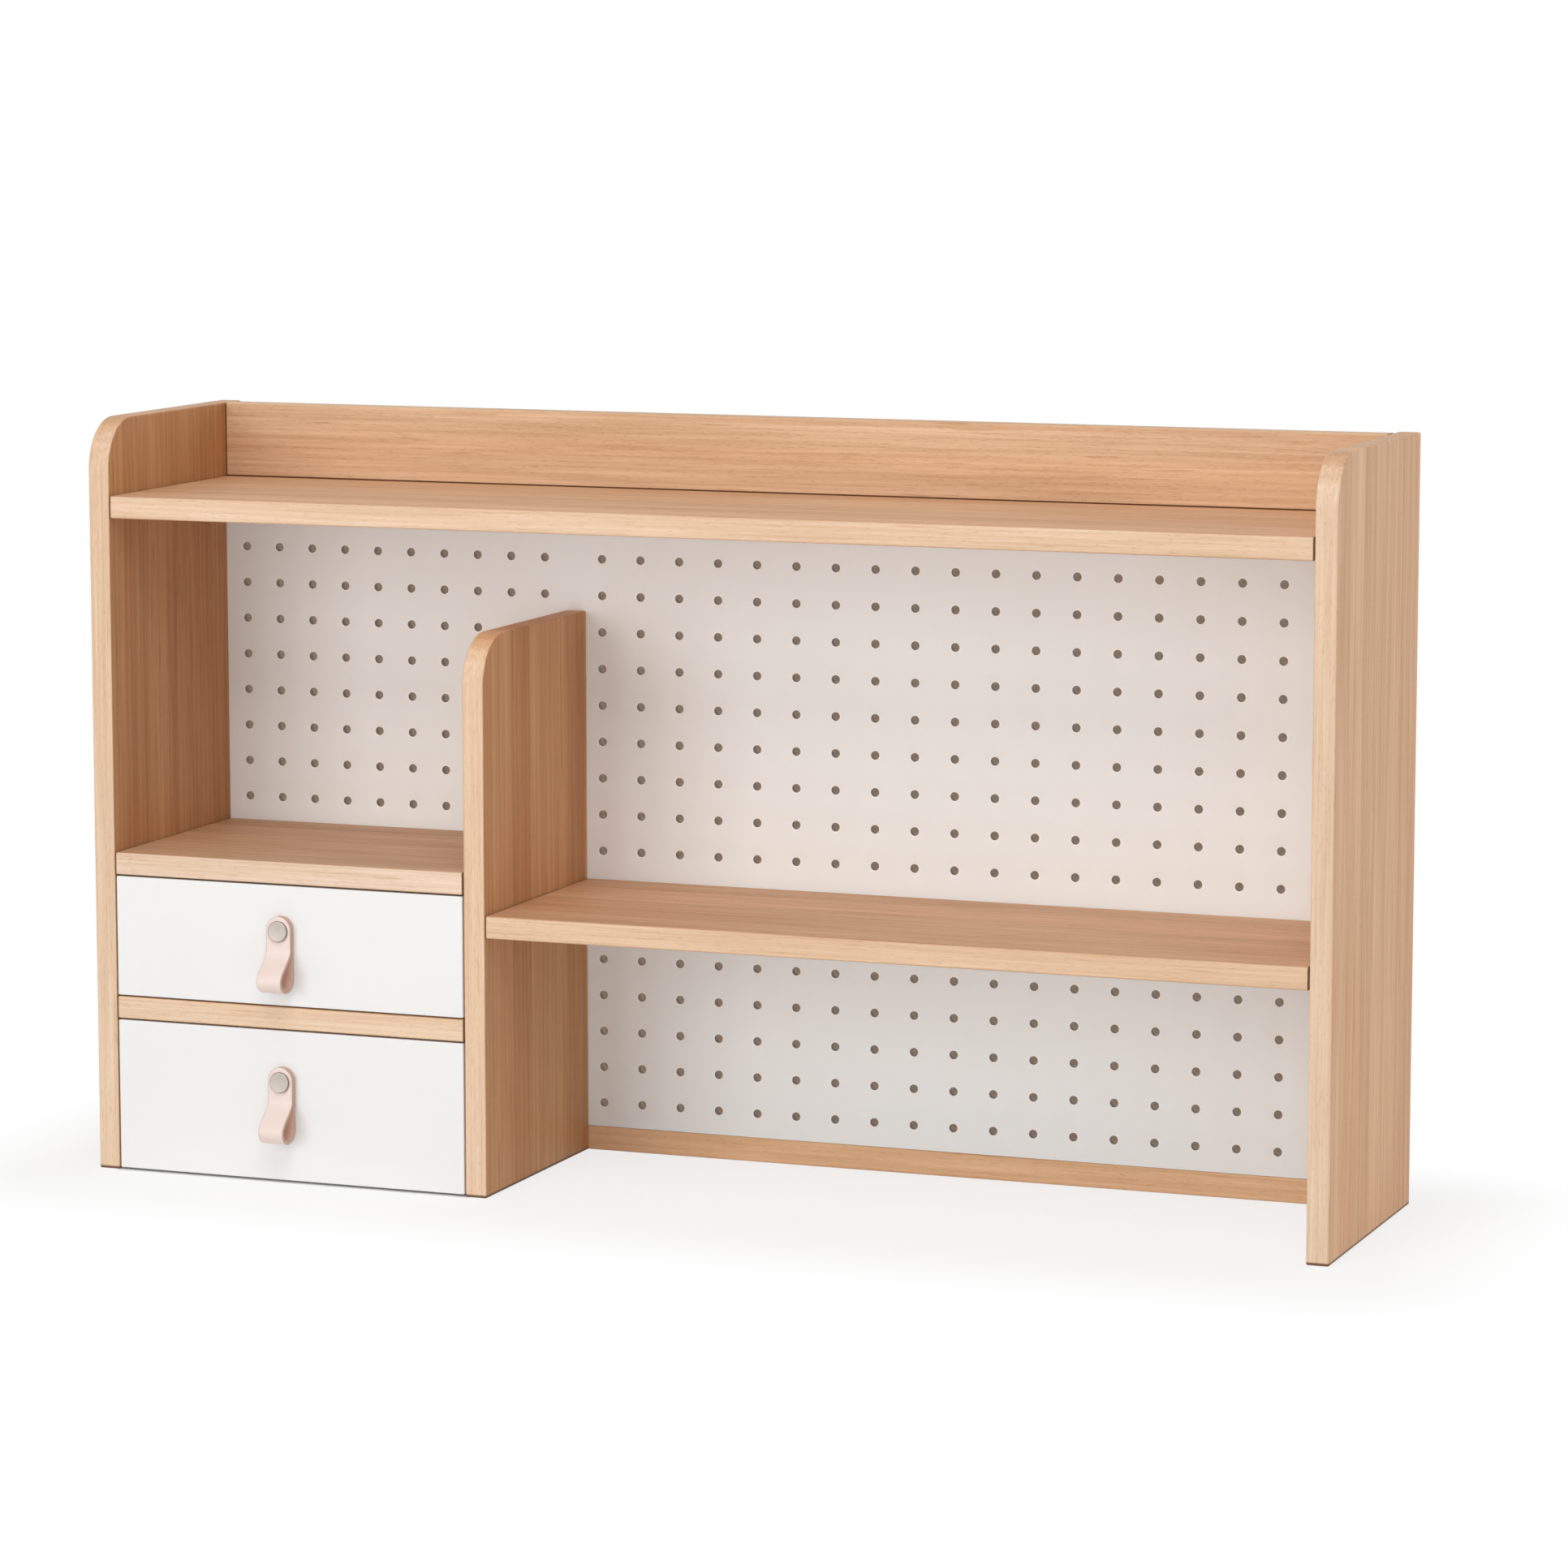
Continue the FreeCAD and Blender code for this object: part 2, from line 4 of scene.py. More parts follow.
import bmesh
import bpy
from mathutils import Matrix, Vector


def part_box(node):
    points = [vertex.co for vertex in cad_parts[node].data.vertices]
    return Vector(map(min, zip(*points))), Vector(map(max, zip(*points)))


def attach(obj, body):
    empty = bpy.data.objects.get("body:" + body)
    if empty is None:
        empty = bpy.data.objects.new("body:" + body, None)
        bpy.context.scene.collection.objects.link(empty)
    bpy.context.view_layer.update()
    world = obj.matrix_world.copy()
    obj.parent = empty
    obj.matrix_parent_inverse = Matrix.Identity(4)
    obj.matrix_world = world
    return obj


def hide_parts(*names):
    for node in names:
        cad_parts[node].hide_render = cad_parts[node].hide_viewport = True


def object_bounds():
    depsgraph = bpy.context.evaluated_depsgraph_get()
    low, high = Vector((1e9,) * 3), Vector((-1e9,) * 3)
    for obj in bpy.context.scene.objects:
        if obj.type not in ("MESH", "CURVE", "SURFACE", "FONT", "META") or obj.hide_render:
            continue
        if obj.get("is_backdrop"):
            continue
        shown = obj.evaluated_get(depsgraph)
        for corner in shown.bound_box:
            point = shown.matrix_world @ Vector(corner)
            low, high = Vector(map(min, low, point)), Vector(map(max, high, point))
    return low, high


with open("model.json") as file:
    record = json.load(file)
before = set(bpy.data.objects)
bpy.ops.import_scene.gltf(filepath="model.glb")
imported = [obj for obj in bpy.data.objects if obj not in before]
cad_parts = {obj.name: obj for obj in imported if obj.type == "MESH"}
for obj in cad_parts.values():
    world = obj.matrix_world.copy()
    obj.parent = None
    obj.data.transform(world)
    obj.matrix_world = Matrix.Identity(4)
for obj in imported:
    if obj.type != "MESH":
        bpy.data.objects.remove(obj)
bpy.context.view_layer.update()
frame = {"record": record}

# ---------------------------------------------------------------------------------------------
# Camera. It stands to the right of the organizer, a little above it, with a long lens, so that
# the inner faces of the left panel and the divider and the outer face of the right panel show.

CAMERA_SPOT = (1.3296, -3.4217, 0.7783)
TILT_DOWN = 7.852             # degrees below level
TURN_LEFT = 20.765            # degrees from straight ahead
lens = bpy.data.cameras.new("camera")
lens.lens, lens.sensor_width = 128.99, 36.0
camera = bpy.data.objects.new("camera", lens)
bpy.context.collection.objects.link(camera)
camera.location = CAMERA_SPOT
camera.rotation_euler = (math.radians(90 - TILT_DOWN), 0.0, math.radians(TURN_LEFT))
bpy.context.scene.camera = camera

# ---------------------------------------------------------------------------------------------
# Side panels and divider. Three upright boards of solid beech, glued up from staves that run
# from top to bottom. The front top corner is cut round and every edge is sanded soft. They
# carry all the other boards on dowels.


class Wire:
    """A value on its way through a node tree. It takes sums and products like a number."""

    def __init__(self, nodes, socket):
        self.nodes, self.socket = nodes, socket

    def other(self, name):
        """Another output of the same node."""
        return Wire(self.nodes, self.nodes.find(self.socket.node.outputs, name))

    def maths(self, operation, *values):
        return self.nodes.maths(operation, self, *values)

    def __add__(self, value):
        return self.maths("ADD", value)

    def __sub__(self, value):
        return self.maths("SUBTRACT", value)

    def __rsub__(self, value):
        return self.nodes.maths("SUBTRACT", value, self)

    def __mul__(self, value):
        return self.maths("MULTIPLY", value)

    def __truediv__(self, value):
        return self.maths("DIVIDE", value)

    __radd__ = __add__
    __rmul__ = __mul__


class Nodes:
    """Adds nodes to a tree, each from its kind, its settings and the values of its sockets."""

    def __init__(self, tree):
        self.tree = tree

    def find(self, sockets, name):
        if isinstance(name, int):
            return sockets[name]
        return next(s for s in sockets if name in (s.identifier, s.name) and s.enabled)

    def add(self, kind, sockets=(), out=0, **settings):
        node = self.tree.nodes.new(kind)
        for name, value in settings.items():
            setattr(node, name, value)
        for name, value in dict(sockets).items():
            socket = self.find(node.inputs, name)
            if isinstance(value, Wire):
                self.tree.links.new(value.socket, socket)
            else:
                socket.default_value = value
        return Wire(self, self.find(node.outputs, out)) if node.outputs else node

    def maths(self, operation, *values):
        return self.add("ShaderNodeMath", dict(enumerate(values)), operation=operation)

    def vector(self, x, y, z):
        return self.add("ShaderNodeCombineXYZ", {0: x, 1: y, 2: z})

    def split(self, vector):
        """The x, y and z of a vector."""
        x = self.add("ShaderNodeSeparateXYZ", {0: vector})
        return x, x.other(1), x.other(2)

    def between(self, factor, low, high, blend="MIX"):
        """A colour between two colours, or the second laid over the first."""
        return self.add(
            "ShaderNodeMix",
            {"Factor_Float": factor, "A_Color": low, "B_Color": high},
            out="Result_Color", data_type="RGBA", blend_type=blend,
        )

    def noise(self, where, scale, detail, roughness=0.5):
        return self.add("ShaderNodeTexNoise", {"Vector": where, "Scale": scale,
                                               "Detail": detail, "Roughness": roughness})

    def step(self, value, low, high):
        """0 below low, 1 above high and smooth between them."""
        return self.add("ShaderNodeMapRange",
                        {"Value": value, "From Min": low, "From Max": high},
                        interpolation_type="SMOOTHSTEP")


class Finish(Nodes):
    """A material under construction, with where a point is on the object as x, y and z."""

    def __init__(self, name):
        self.material = bpy.data.materials.new(name)
        self.material.use_nodes = True
        super().__init__(self.material.node_tree)
        self.tree.nodes.clear()
        self.where = self.add("ShaderNodeTexCoord", out="Object")
        self.x, self.y, self.z = self.split(self.where)

    def facing(self):
        """The x, y and z of the way that a face points."""
        return self.split(self.add("ShaderNodeNewGeometry", out="Normal"))

    def surface(self, height, depth, **sockets):
        """Ends the material in a surface whose relief is height times depth, in metres."""
        values = {name.replace("_", " "): value for name, value in sockets.items()}
        values["Normal"] = self.add("ShaderNodeBump", {"Height": height, "Distance": depth})
        shader = self.add("ShaderNodeBsdfPrincipled", values)
        self.add("ShaderNodeOutputMaterial", {"Surface": shader})
        return self.material


def deeper(colour, share):
    """The same colour with less light in it, or more where the share is above 1."""
    return tuple(share * part for part in colour[:3]) + (1.0,)


STAVE_SHIFT = 0.37            # how far the grain of a stave is set off from the one before
# Painted shade: the brown laid on bevels at the joints and at the foot of the uprights.
SEAM_SHADE_BROWN = (0.13, 0.048, 0.014, 1.0)
SEAM_SHADE_COVER = 0.94             # how much of the wood's own colour that brown hides


def timber(name, along, across, stave, dark, light, edge_dark, edge_light, seed=0.0, shade_seams=(),
           painted_shade_faces=(), foot_shade=0.0):
    """Planed wood with its grain along one axis, in staves of one width side by side.

    The front edges have colours of their own. The bevels that face a seam are brown, painted
    shade in the joints. Faces picked by the way they point can be multiplied by a darker colour,
    painted shade. Wood that stands on end is browned up to a height above the floor, a painted
    contact shadow."""
    wood = Finish(name)
    place = {"X": wood.x, "Y": wood.y, "Z": wood.z}
    through = next(axis for axis in "XYZ" if axis not in (along, across))
    side, deep = place[across], place[through]
    number = (side / stave + seed).maths("FLOOR")
    tint = wood.add("ShaderNodeTexWhiteNoise", {"W": number + seed}, out="Value",
                    noise_dimensions="1D")
    run = place[along] + number * STAVE_SHIFT + seed

    def fibres(stretch, scale, detail):
        """Noise that is drawn out along the grain."""
        return wood.noise(wood.vector(side, deep, run * stretch), scale, detail, 0.6)

    def seam_shaded(where, colour):
        """The brown of painted shade in a seam, over a colour."""
        return wood.between(where * SEAM_SHADE_COVER, colour, SEAM_SHADE_BROWN)

    streaks = fibres(0.016, 560.0, 4.0)
    bands = fibres(0.045, 62.0, 2.0)
    clouds = fibres(0.3, 13.0, 2.0)
    rings = wood.add("ShaderNodeTexWave", {
        "Vector": wood.vector(side, deep * 0.35, run * 0.035), "Scale": 46.0,
        "Distortion": 5.0, "Detail": 2.0, "Detail Scale": 1.6,
    }, out="Fac")
    flecks = wood.step(fibres(0.11, 1500.0, 1.0), 0.60, 0.72)
    dashes = wood.step(fibres(0.05, 300.0, 2.0), 0.64, 0.74)
    tone = 0.5 - flecks * 0.2 - dashes * 0.36
    for figure, weight in ((streaks, 1.15), (bands, 0.85), (rings, 0.14), (clouds, 0.42),
                           (tint, 0.34)):
        tone = tone + (figure - 0.5) * weight
    tone = tone.maths("MAXIMUM", 0.0).maths("MINIMUM", 1.0)
    colour = wood.between(tone, dark, light)
    rose = wood.step(fibres(0.03, 38.0, 1.0), 0.42, 0.62)
    colour = wood.between(rose * 0.55, colour, (1.0, 0.93, 0.90, 1.0), "MULTIPLY")

    facing = dict(zip("XYZ", wood.facing()))
    # Painted shade: the chosen faces are multiplied by a darker colour.
    for axis, sign, shade_tint in painted_shade_faces:
        colour = wood.between(wood.step(facing[axis] * sign, 0.5, 0.9), colour, shade_tint, "MULTIPLY")
    if through != "Y":
        front = wood.step(facing["Y"] * -1.0, 0.35, 0.95)
        colour = wood.between(front, colour, wood.between(tone, edge_dark, edge_light))
    end = wood.step(facing[along].maths("ABSOLUTE"), 0.75, 0.95)
    pores = wood.noise(wood.vector(side * 1.4, deep * 1.4, place[along] * 0.2), 900.0, 3.0)
    end_grain = wood.between(pores, deeper(dark, 0.7), deeper(light, 0.86))
    colour = wood.between(end * 0.4, colour, end_grain)
    # Painted shade in the joints: the bevels that face a seam are browned.
    for axis, sign in shade_seams:
        colour = seam_shaded(wood.step(facing[axis] * sign, 0.02, 0.25), colour)
    # Painted contact shadow: wood near the floor is browned, fading out upwards.
    if foot_shade:
        colour = seam_shaded(1 - wood.step(wood.z, foot_shade * 0.5, foot_shade), colour)
    return wood.surface(
        Base_Color=colour, Roughness=0.52 - (streaks - 0.5) * 0.25 + flecks * 0.1,
        Specular_IOR_Level=0.3,
        height=streaks * 0.6 - flecks * 0.8 - dashes * 0.5 + bands * 0.2, depth=0.00012,
    )


def skinned(work, rings):
    """Lays a face between each two corners of a ring and the same two of the next ring."""
    for ring, following in zip(rings, rings[1:]):
        for index in range(len(ring)):
            work.faces.new((ring[index - 1], ring[index], following[index],
                            following[index - 1]))


def formed(work, name, material=None, crease=None):
    """The finished form as a piece, smooth but for the edges sharper than crease degrees."""
    bmesh.ops.recalc_face_normals(work, faces=work.faces)
    mesh = bpy.data.meshes.new(name)
    work.to_mesh(mesh)
    work.free()
    if crease:
        mesh.shade_smooth()
        mesh.set_sharp_from_angle(angle=math.radians(crease))
        mesh.materials.append(material)
    piece = bpy.data.objects.new(name, mesh)
    bpy.context.collection.objects.link(piece)
    return piece


def eased(piece, radius):
    """Sands every edge of a piece round, and keeps the flats between them flat."""
    bevel = piece.modifiers.new("eased edges", "BEVEL")
    bevel.width, bevel.segments, bevel.limit_method = radius, 3, "ANGLE"
    bevel.angle_limit = math.radians(40)
    bevel.harden_normals = True
    piece.data.shade_smooth()
    graph = bpy.context.evaluated_depsgraph_get()
    mesh = bpy.data.meshes.new_from_object(piece.evaluated_get(graph))
    piece.modifiers.clear()
    piece.data = mesh
    mesh.name = piece.name


def board(name, along, start, end, outline, material, ease):
    """A board: an outline across an axis, carried along it from start to end."""
    def place(step, corner):
        first, second = corner
        return {"X": (step, first, second), "Y": (first, step, second)}[along]

    work = bmesh.new()
    near = [work.verts.new(place(start, corner)) for corner in outline]
    far = [work.verts.new(place(end, corner)) for corner in outline]
    work.faces.new(near)
    work.faces.new(far)
    skinned(work, [near, far])
    piece = formed(work, name)
    eased(piece, ease)
    piece.data.materials.append(material)
    return piece


CORNER_RADIUS = 0.034
CORNER_STEPS = 14
UPRIGHT_EASE = 0.0012
UPRIGHT_STAVE = 0.031
# Height of the painted contact shadow at the foot of each upright.
FOOT_SHADE = 0.0026
# The grain's seed, the faces darkened with painted shade, and how pale the front edge is, as
# painted light.
UPRIGHTS = {
    "left_side_panel": (3.2, (("X", 1, (0.73, 0.63, 0.51, 1.0)),), 1.0),
    "right_side_panel": (5.9, (), 0.98),
    "divider_panel": (8.4, (("X", 1, (0.83, 0.76, 0.65, 1.0)),), 1.05),
}
for node, (seed, painted_shade_faces, pale) in UPRIGHTS.items():
    beech = timber(
        "beech " + node, "Z", "Y", UPRIGHT_STAVE,
        dark=(0.57, 0.29, 0.13, 1.0), light=(0.88, 0.56, 0.335, 1.0),
        edge_dark=deeper((0.61, 0.38, 0.225), pale), edge_light=deeper((0.86, 0.66, 0.49), pale),
        seed=seed, painted_shade_faces=painted_shade_faces, foot_shade=FOOT_SHADE,
    )
    low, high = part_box(node)
    outline = [(low.y, low.z), (high.y, low.z), (high.y, high.z)]
    for step in range(CORNER_STEPS + 1):
        turn = math.pi / 2 * step / CORNER_STEPS
        outline.append((low.y + CORNER_RADIUS * (1 - math.sin(turn)),
                        high.z - CORNER_RADIUS * (1 - math.cos(turn))))
    piece = board(node + ".solid", "X", low.x, high.x, outline, beech, UPRIGHT_EASE)
    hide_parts(node)
    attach(piece, "carcass")

# ---------------------------------------------------------------------------------------------
# Shelves, drawer partition and floor of the drawer bay. Solid beech boards with the grain
# running across the unit, glued up from staves and dowelled into the uprights. The top shelf has
# a groove underneath for the perforated back.

# Painted shade in the joints, on the bevels at both ends of a shelf or rail.
ENDS = (("X", 1), ("X", -1))
EDGES = {"edge_dark": (0.65, 0.41, 0.25, 1.0), "edge_light": (0.90, 0.70, 0.52, 1.0)}
# Front edges with painted light: redder for one in shade, paler for one in light.
SHADED_EDGES = {"edge_dark": (0.62, 0.375, 0.215, 1.0), "edge_light": (0.87, 0.65, 0.455, 1.0)}
LIT_EDGES = {"edge_dark": (0.67, 0.445, 0.295, 1.0), "edge_light": (0.93, 0.76, 0.61, 1.0)}
# How light the board's faces are, and the colours of its front edge: painted light and shade,
# darker faces on the boards that stand more in shade, a paler front edge where more light falls
# and a redder one where less does.
SHELVES = {"top_shelf": (1.0, EDGES), "left_shelf": (0.82, LIT_EDGES),
           "drawer_partition": (0.95, EDGES), "drawer_bay_floor": (0.95, EDGES),
           "mid_shelf": (0.92, SHADED_EDGES)}
SHELF_STAVE = 0.047
SHELF_EASE = 0.0014
GROOVE_WIDTH = 0.0052
GROOVE_DEPTH = 0.005
back_low, back_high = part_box("pegboard")


def rectangle(low, high):
    return [(low[0], low[1]), (high[0], low[1]), (high[0], high[1]), (low[0], high[1])]


for node, (share, edges) in SHELVES.items():
    low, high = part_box(node)
    outline = rectangle(low.yz, high.yz)
    if node == "top_shelf":
        groove_end = back_low.y + GROOVE_WIDTH
        roof = low.z + GROOVE_DEPTH
        outline[1:1] = [(back_low.y, low.z), (back_low.y, roof), (groove_end, roof),
                        (groove_end, low.z)]
    beech = timber("beech " + node, "X", "Y", SHELF_STAVE, deeper((0.56, 0.295, 0.145), share),
                   deeper((0.90, 0.60, 0.38), share), seed=7.7 + 10 * share, shade_seams=ENDS, **edges)
    piece = board(node + ".solid", "X", low.x, high.x, outline, beech, SHELF_EASE)
    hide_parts(node)
    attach(piece, "carcass")

# ---------------------------------------------------------------------------------------------
# Back rails. The upper one stands on edge on the top shelf and stops things from falling off.
# The lower one holds the perforated back in a rebate along its top. Both are single beech
# boards, dowelled between the side panels.

RAIL_STAVE = 0.09
RAIL_EASE = 0.0012
# Painted shade along the underside of the upper rail, where it stands on the top shelf.
BASE = (("Z", -1),)
# The lower rail's wood is lighter than the upper rail's: painted light for the shade it stands in
# low between the panels.
rail_beech = {
    "top_back_rail": timber(
        "beech upper rail", "X", "Z", RAIL_STAVE, (0.52, 0.295, 0.15, 1.0),
        (0.82, 0.56, 0.36, 1.0), seed=1.4, shade_seams=ENDS + BASE, **EDGES),
    "bottom_back_rail": timber(
        "beech lower rail", "X", "Z", RAIL_STAVE, (0.66, 0.37, 0.19, 1.0),
        (0.95, 0.68, 0.43, 1.0), seed=6.3, shade_seams=ENDS, **EDGES),
}
for node, beech in rail_beech.items():
    low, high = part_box(node)
    outline = rectangle(low.yz, high.yz)
    if node == "bottom_back_rail":
        rebate = low.y + GROOVE_WIDTH
        outline[3:] = [(rebate, high.z), (rebate, back_low.z), (low.y, back_low.z)]
    piece = board(node + ".solid", "X", low.x, high.x, outline, beech, RAIL_EASE)
    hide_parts(node)
    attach(piece, "carcass")

# ---------------------------------------------------------------------------------------------
# Wooden dowels. Fluted birch pins, glued into the end of each board and into the upright beside
# it, two at each end of a shelf and one at each end of a rail.

BIRCH = {"dark": (0.68, 0.45, 0.29, 1.0), "light": (0.92, 0.73, 0.56, 1.0),
         "edge_dark": (0.71, 0.49, 0.33, 1.0), "edge_light": (0.93, 0.76, 0.60, 1.0)}
birch_dowel = timber("birch dowel", "X", "Y", stave=0.05, **BIRCH)


class Recipe(Nodes):
    """A Geometry Nodes tree with named inputs for its sizes."""

    def __init__(self, name, **inputs):
        super().__init__(bpy.data.node_groups.new(name, "GeometryNodeTree"))
        face = self.tree.interface
        face.new_socket("Geometry", in_out="OUTPUT", socket_type="NodeSocketGeometry")
        face.new_socket("Geometry", in_out="INPUT", socket_type="NodeSocketGeometry")
        for label, kind in inputs.items():
            face.new_socket(label, in_out="INPUT", socket_type="NodeSocket" + kind)
        self.start = self.tree.nodes.new("NodeGroupInput")

    def given(self, name):
        return Wire(self, self.find(self.start.outputs, name))

    def end(self, geometry, material):
        """Ends the tree in plain geometry with a material on it."""
        real = self.add("GeometryNodeRealizeInstances", {0: geometry})
        merged = self.add("GeometryNodeMergeByDistance", {"Geometry": real, "Distance": 1e-5})
        painted = self.add("GeometryNodeSetMaterial", {"Geometry": merged,
                                                       "Material": material})
        self.add("NodeGroupOutput", {"Geometry": painted})

    def make(self, name, points, **values):
        """The plain mesh that the tree makes from these points and sizes."""
        mesh = bpy.data.meshes.new(name)
        mesh.from_pydata(points, [], [])
        piece = bpy.data.objects.new(name, mesh)
        bpy.context.collection.objects.link(piece)
        recipe = piece.modifiers.new(name, "NODES")
        recipe.node_group = self.tree
        for item in self.tree.interface.items_tree:
            if item.in_out == "INPUT" and item.name in values:
                recipe[item.identifier] = values[item.name]
        graph = bpy.context.evaluated_depsgraph_get()
        made = bpy.data.meshes.new_from_object(piece.evaluated_get(graph))
        piece.modifiers.clear()
        piece.data = made
        made.name = name
        return piece


dowels = Recipe("fluted dowels", Diameter="Float", Length="Float", Flutes="Int",
                Flute_depth="Float", Chamfer="Float", Turn="Vector", Wood="Material")
pin_radius = dowels.given("Diameter") * 0.5
pin_half = dowels.given("Length") * 0.5
chamfer = dowels.given("Chamfer")
pin = dowels.add("GeometryNodeMeshCylinder", {
    "Vertices": dowels.given("Flutes") * 2, "Side Segments": 3, "Radius": pin_radius,
    "Depth": dowels.given("Length"),
}, fill_type="NGON")
pin_x, pin_y, pin_z = dowels.split(dowels.add("GeometryNodeInputPosition"))
at_end = dowels.maths("GREATER_THAN", pin_z.maths("ABSOLUTE"), pin_half - 1e-5)
lifted = at_end * pin_half + (1 - at_end) * (pin_half - chamfer)
in_flute = dowels.add("GeometryNodeInputIndex").maths("MODULO", 2.0)
narrow = 1 - (in_flute * dowels.given("Flute_depth") + at_end * chamfer) / pin_radius
shaped = dowels.add("GeometryNodeSetPosition", {
    "Geometry": pin,
    "Position": dowels.vector(pin_x * narrow, pin_y * narrow, pin_z.maths("SIGN") * lifted),
})
laid = dowels.add("GeometryNodeTransform", {"Geometry": shaped, "Rotation": dowels.given("Turn")})
placed = dowels.add("GeometryNodeInstanceOnPoints", {"Points": dowels.given("Geometry"),
                                                     "Instance": laid})
dowels.end(placed, dowels.given("Wood"))

PIN = {"Diameter": 0.006, "Flutes": 12, "Flute_depth": 0.00025, "Chamfer": 0.0008,
       "Wood": birch_dowel}
DOWEL_LENGTH = 0.024
DOWEL_IN_PANEL = 0.009
FRONT_ROW = -0.0545           # where the rows of pins run, from front to back
BACK_ROW = 0.0505
FLOOR_FRONT_ROW = -0.0385
RAIL_ROW = 0.093
middles = []
for node, rows in (
    ("top_shelf", (FRONT_ROW, BACK_ROW)), ("left_shelf", (FRONT_ROW, BACK_ROW)),
    ("drawer_partition", (FRONT_ROW, BACK_ROW)), ("mid_shelf", (FRONT_ROW, BACK_ROW)),
    ("drawer_bay_floor", (FLOOR_FRONT_ROW, BACK_ROW)),
    ("top_back_rail", (RAIL_ROW,)), ("bottom_back_rail", (RAIL_ROW,)),
):
    low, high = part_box(node)
    height = (low.z + (back_low.z if node == "bottom_back_rail" else high.z)) / 2
    for row in rows:
        middles.append((low.x - DOWEL_IN_PANEL + DOWEL_LENGTH / 2, row, height))
        middles.append((high.x + DOWEL_IN_PANEL - DOWEL_LENGTH / 2, row, height))
pins = dowels.make("wooden_dowels.fluted", middles, Length=DOWEL_LENGTH,
                   Turn=(0.0, math.pi / 2, 0.0), **PIN)
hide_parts("wooden_dowels")
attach(pins, "carcass")

# ---------------------------------------------------------------------------------------------
# Perforated back. One 5 mm hardboard panel with a grid of 6 mm holes in each bay, painted off
# white. It slides into grooves in the side panels and under the top shelf and stands in the
# rebate of the lower rail. The paint dips into each hole's mouth, and a painted highlight
# lightens the ring round it.

paint = Finish("off white paint")
lip_highlight = paint.add("ShaderNodeAttribute", out="Fac", attribute_name="lip_highlight")
in_hole = 1 - paint.step(paint.facing()[1].maths("ABSOLUTE"), 0.25, 0.6)
cloud = paint.noise(paint.where, 9.0, 3.0)
stipple = paint.noise(paint.where, 1300.0, 2.0)
skin = paint.between(cloud, (0.90, 0.933, 0.937, 1.0), (0.93, 0.965, 0.977, 1.0))
# Painted highlight: a lighter ring round each hole's mouth.
skin = paint.between(lip_highlight.maths("POWER", 0.45), skin, (1.0, 0.99, 0.965, 1.0))
off_white = paint.surface(
    Base_Color=paint.between(in_hole, skin, (0.19, 0.125, 0.085, 1.0)),
    Roughness=0.52 + (stipple - 0.5) * 0.16, height=stipple, depth=0.00005,
)

HOLE_SIDES = 16
field = Recipe("field of holes", Columns="Int", Rows="Int", Column_pitch="Float",
               Row_pitch="Float", Hole="Float", Lip_width="Float", Lip_drop="Float",
               Thickness="Float", Centre="Vector", Paint="Material")
ring = field.add("GeometryNodeMeshCircle", {"Vertices": HOLE_SIDES, "Radius": 1.0})
heading = field.add("GeometryNodeInputPosition")
kept = field.add("GeometryNodeStoreNamedAttribute",
                 {"Geometry": ring, "Name": "heading", "Value": heading},
                 data_type="FLOAT_VECTOR", domain="POINT")
way_x, way_z, _ = field.split(field.add(
    "GeometryNodeInputNamedAttribute", {"Name": "heading"}, data_type="FLOAT_VECTOR"))
stretch = way_x.maths("ABSOLUTE").maths("MAXIMUM", way_z.maths("ABSOLUTE"))


def tile_border(depth):
    """A point on the rectangle round a hole, where its tile meets the next one."""
    return field.vector(way_x / stretch * field.given("Column_pitch") * 0.5, depth,
                        way_z / stretch * field.given("Row_pitch") * 0.5)


def hole_wall(size, depth):
    """A point on the round of a hole or of its lip."""
    return field.vector(way_x * size, depth, way_z * size)


hole_radius = field.given("Hole") * 0.5
lip_width, lip_drop = field.given("Lip_width"), field.given("Lip_drop")
thickness = field.given("Thickness")
tile = field.add("GeometryNodeSetPosition", {"Geometry": kept, "Position": tile_border(0.0)})
newest = True
# Each new ring, with 1 where the painted highlight is full, at the hole's mouth.
for target, highlit in (
    (hole_wall(hole_radius + lip_width, 0.0), 0.0),
    (hole_wall(hole_radius, lip_drop), 1.0),
    (hole_wall(hole_radius, thickness), 0.0),
    (tile_border(thickness), 0.0),
):
    tile = field.add("GeometryNodeExtrudeMesh",
                     {"Mesh": tile, "Selection": newest, "Offset Scale": 0.0}, mode="EDGES")
    newest = tile.other("Top")
    tile = field.add("GeometryNodeSetPosition",
                     {"Geometry": tile, "Selection": newest, "Position": target})
    tile = field.add("GeometryNodeStoreNamedAttribute",
                     {"Geometry": tile, "Selection": newest, "Name": "lip_highlight",
                      "Value": highlit}, data_type="FLOAT", domain="POINT")
net = field.add("GeometryNodeMeshGrid", {
    "Size X": (field.given("Columns") - 1) * field.given("Column_pitch"),
    "Size Y": (field.given("Rows") - 1) * field.given("Row_pitch"),
    "Vertices X": field.given("Columns"), "Vertices Y": field.given("Rows"),
})
upright_net = field.add("GeometryNodeTransform", {
    "Geometry": net, "Rotation": (math.pi / 2, 0.0, 0.0), "Translation": field.given("Centre")})
field.end(field.add("GeometryNodeInstanceOnPoints", {"Points": upright_net, "Instance": tile}),
          field.given("Paint"))

